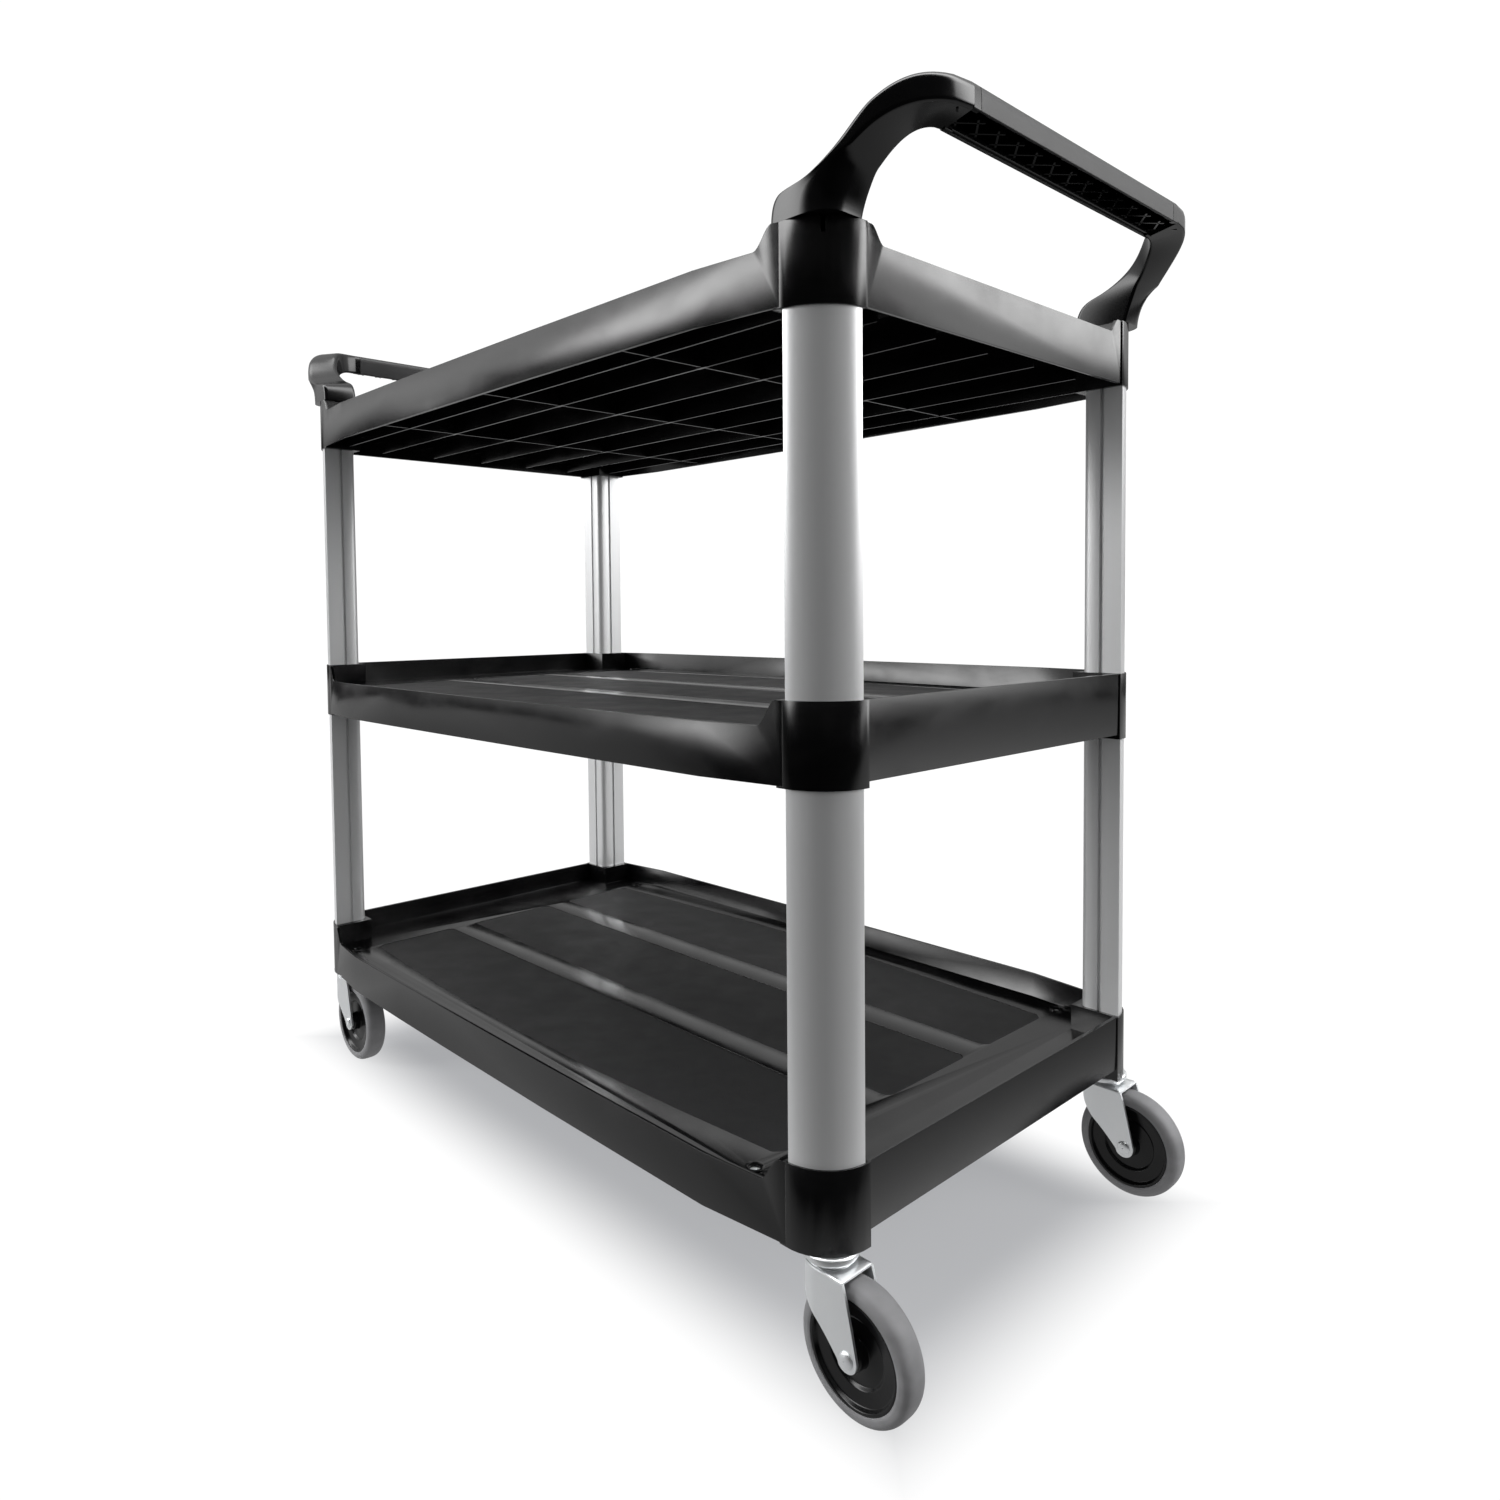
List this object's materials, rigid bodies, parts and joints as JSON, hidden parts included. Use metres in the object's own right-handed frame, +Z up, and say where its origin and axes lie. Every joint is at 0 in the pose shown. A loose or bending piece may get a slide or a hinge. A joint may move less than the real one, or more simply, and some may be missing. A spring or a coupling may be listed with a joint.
{
  "type": "rolling utility cart",
  "caption": "Open rolling utility cart: black moulded shelves with raised rims on rounded aluminium corner uprights, a push handle at each end and swivel casters under the corners.",
  "frame": {"origin": "on the floor, under the middle of the cart", "axes": "+X along the cart towards one push handle, +Y across it, +Z up; the casters trail towards +X"},
  "size_m": [1.033, 0.508, 0.954],
  "materials": {
    "black_moulding": "satin moulded, textured floor panels",
    "satin_black_grip": "satin",
    "aluminium_extrusion": "satin clear anodised",
    "zinc_steel": "bright zinc plated",
    "black_wheel_centre": "satin moulded",
    "grey_tyre": "matte"
  },
  "bodies": {
    "frame": {"top_shelf": "black_moulding", "middle_shelf": "black_moulding", "bottom_shelf": "black_moulding", "upper_upright_1": "aluminium_extrusion", "upper_upright_2": "aluminium_extrusion", "upper_upright_3": "aluminium_extrusion", "upper_upright_4": "aluminium_extrusion", "lower_upright_1": "aluminium_extrusion", "lower_upright_2": "aluminium_extrusion", "lower_upright_3": "aluminium_extrusion", "lower_upright_4": "aluminium_extrusion", "handle_1": "black_moulding", "handle_2": "black_moulding", "grip_1": "satin_black_grip", "grip_2": "satin_black_grip", "shelf_screws": "zinc_steel", "stem_1": "zinc_steel", "stem_2": "zinc_steel", "stem_3": "zinc_steel", "stem_4": "zinc_steel"},
    "fork_body_1": {"fork_1": "zinc_steel", "axle_1": "zinc_steel"},
    "wheel_1": {"hub_1": "black_wheel_centre", "tyre_1": "grey_tyre"},
    "fork_body_2": {"fork_2": "zinc_steel", "axle_2": "zinc_steel"},
    "wheel_2": {"hub_2": "black_wheel_centre", "tyre_2": "grey_tyre"},
    "fork_body_3": {"fork_3": "zinc_steel", "axle_3": "zinc_steel"},
    "wheel_3": {"hub_3": "black_wheel_centre", "tyre_3": "grey_tyre"},
    "fork_body_4": {"fork_4": "zinc_steel", "axle_4": "zinc_steel"},
    "wheel_4": {"hub_4": "black_wheel_centre", "tyre_4": "grey_tyre"}
  },
  "joints": [
    {"name": "swivel_1", "type": "hinge", "parent": "frame", "child": "fork_body_1", "pos_m": [0.4265, -0.214, 0.1], "axis": [0, 0, 1], "continuous": true},
    {"name": "roll_1", "type": "hinge", "parent": "fork_body_1", "child": "wheel_1", "pos_m": [0.4562, -0.214, 0.0508], "axis": [0, 1, 0], "continuous": true},
    {"name": "swivel_2", "type": "hinge", "parent": "frame", "child": "fork_body_2", "pos_m": [0.4265, 0.214, 0.1], "axis": [0, 0, 1], "continuous": true},
    {"name": "roll_2", "type": "hinge", "parent": "fork_body_2", "child": "wheel_2", "pos_m": [0.4562, 0.214, 0.0508], "axis": [0, 1, 0], "continuous": true},
    {"name": "swivel_3", "type": "hinge", "parent": "frame", "child": "fork_body_3", "pos_m": [-0.4265, 0.214, 0.1], "axis": [0, 0, 1], "continuous": true},
    {"name": "roll_3", "type": "hinge", "parent": "fork_body_3", "child": "wheel_3", "pos_m": [-0.3968, 0.214, 0.0508], "axis": [0, 1, 0], "continuous": true},
    {"name": "swivel_4", "type": "hinge", "parent": "frame", "child": "fork_body_4", "pos_m": [-0.4265, -0.214, 0.1], "axis": [0, 0, 1], "continuous": true},
    {"name": "roll_4", "type": "hinge", "parent": "fork_body_4", "child": "wheel_4", "pos_m": [-0.3968, -0.214, 0.0508], "axis": [0, 1, 0], "continuous": true}
  ]
}
